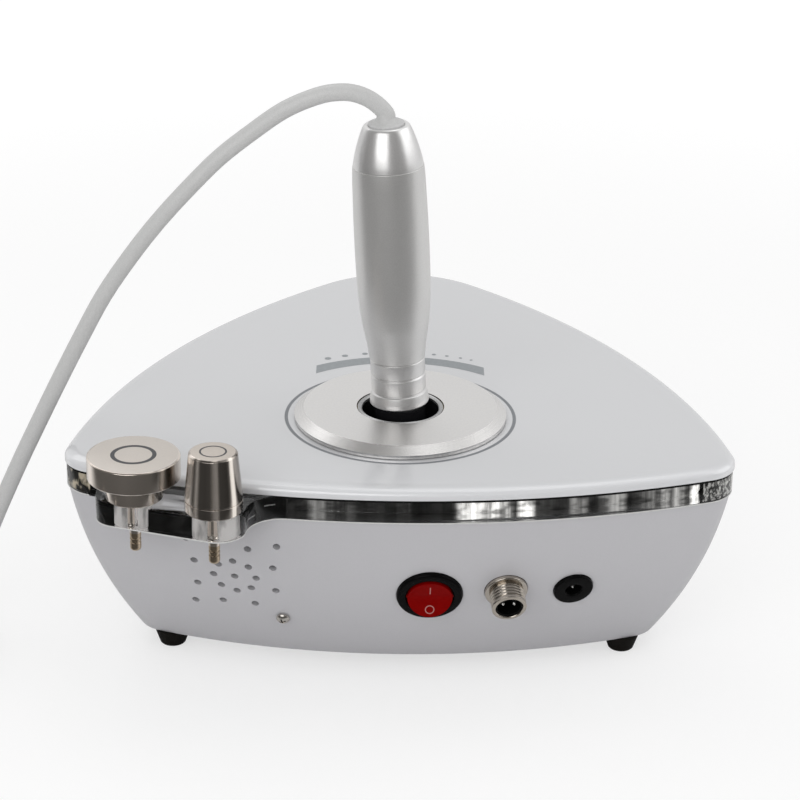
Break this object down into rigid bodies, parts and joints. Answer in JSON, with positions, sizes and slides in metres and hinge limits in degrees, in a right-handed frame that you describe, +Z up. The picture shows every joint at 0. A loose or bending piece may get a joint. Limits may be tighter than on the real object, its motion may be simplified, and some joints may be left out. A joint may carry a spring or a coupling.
{
  "type": "facial toning device",
  "caption": "Desk-top beauty device: rounded triangular case with a central intensity dial, a lift-out corded handpiece, and probe heads in a clear holder.",
  "frame": {"origin": "centre of the case's own box, on the surface that the feet stand on", "axes": "+Z up, +Y towards the nose, -Y out of the rear wall with its switch and ports, +X to the right seen from behind"},
  "size_m": [0.355, 0.2596, 0.2083],
  "materials": {
    "housing_plastic": "satin silver-grey paint on moulded plastic",
    "clear_acrylic": "clear acrylic with polished edges",
    "cover_paint": "satin silver-white paint",
    "foot_rubber": "matt black rubber",
    "steel_fasteners": "plated steel",
    "nickel": "bright nickel",
    "gloss_black": "gloss black",
    "gloss_red": "gloss red",
    "black_plastic": "moulded black",
    "brass_contacts": "brass",
    "dial_aluminium": "turned aluminium, fine concentric brush",
    "circuit_board": "green solder mask",
    "chrome_trim": "bright chrome",
    "black_aluminium": "black anodised",
    "handle_aluminium": "blasted and anodised satin",
    "white_plastic": "moulded white",
    "grey_plastic": "soft light grey",
    "probe_steel": "polished stainless, fine turned faces",
    "gilt_tip": "gilt",
    "cord_pvc": "soft light grey PVC"
  },
  "bodies": {
    "base": {"lower_housing": "housing_plastic", "acrylic_band": "clear_acrylic", "top_cover": "cover_paint", "foot_left": "foot_rubber", "foot_right": "foot_rubber", "foot_nose": "foot_rubber", "foot_screws": "steel_fasteners", "case_screw": "nickel", "switch_bezel": "gloss_black", "switch_body": "black_plastic", "switch_terminals": "brass_contacts", "signal_socket_shell": "nickel", "signal_socket_insulator": "black_plastic", "signal_socket_pins": "brass_contacts", "signal_socket_nut": "nickel", "power_jack_body": "black_plastic", "power_jack_pin": "nickel", "power_jack_nut": "steel_fasteners", "dial_bearing_ring": "brass_contacts", "track_board": "circuit_board", "socket_cup": "gloss_black", "socket_trim": "chrome_trim", "cup_screws": "steel_fasteners", "board_standoffs": "brass_contacts", "main_board": "circuit_board", "rf_transformer": "black_plastic", "heat_sink": "black_aluminium", "capacitors": "black_plastic", "cord_coil": "cord_pvc", "plug_boot": "black_plastic", "plug_body": "nickel"},
    "rocker": {"switch_rocker": "gloss_red"},
    "dial": {"intensity_dial": "dial_aluminium", "dial_wiper": "brass_contacts"},
    "handpiece": {"handle_barrel": "handle_aluminium", "handle_end_cap": "handle_aluminium", "handle_neck": "handle_aluminium", "handle_nose": "black_plastic", "handle_insulator": "white_plastic", "handle_contact": "brass_contacts", "cord_bushing": "grey_plastic", "cord_tube": "cord_pvc"},
    "disc_probe": {"disc_head": "probe_steel", "disc_collar": "probe_steel", "disc_pin": "probe_steel", "disc_tip": "gilt_tip"},
    "cone_probe": {"cone_head": "probe_steel", "cone_collar": "probe_steel", "cone_pin": "probe_steel", "cone_tip": "gilt_tip"},
    "plug_ring": {"plug_ring": "nickel"}
  },
  "joints": [
    {"name": "rocker_tilt", "type": "hinge", "parent": "base", "child": "rocker", "pos_m": [0.01079, -0.08405, 0.03965], "axis": [0.9993, 0.0385, 0], "range_deg": [0, 24]},
    {"name": "dial_turn", "type": "hinge", "parent": "base", "child": "dial", "pos_m": [0, -0.03655, 0.09], "axis": [0, 0, 1], "range_deg": [-27, 27]},
    {"name": "handpiece_lift", "type": "slide", "parent": "base", "child": "handpiece", "axis": [-0.0576, 0, 0.9983], "range_m": [0, 0.05]},
    {"name": "disc_lift", "type": "slide", "parent": "base", "child": "disc_probe", "axis": [0, 0, 1], "range_m": [0, 0.035]},
    {"name": "cone_lift", "type": "slide", "parent": "base", "child": "cone_probe", "axis": [0, 0, 1], "range_m": [0, 0.035]},
    {"name": "plug_ring_turn", "type": "hinge", "parent": "base", "child": "plug_ring", "pos_m": [-0.231, -0.10175, 0.0075], "axis": [0, -1, 0], "continuous": true}
  ]
}
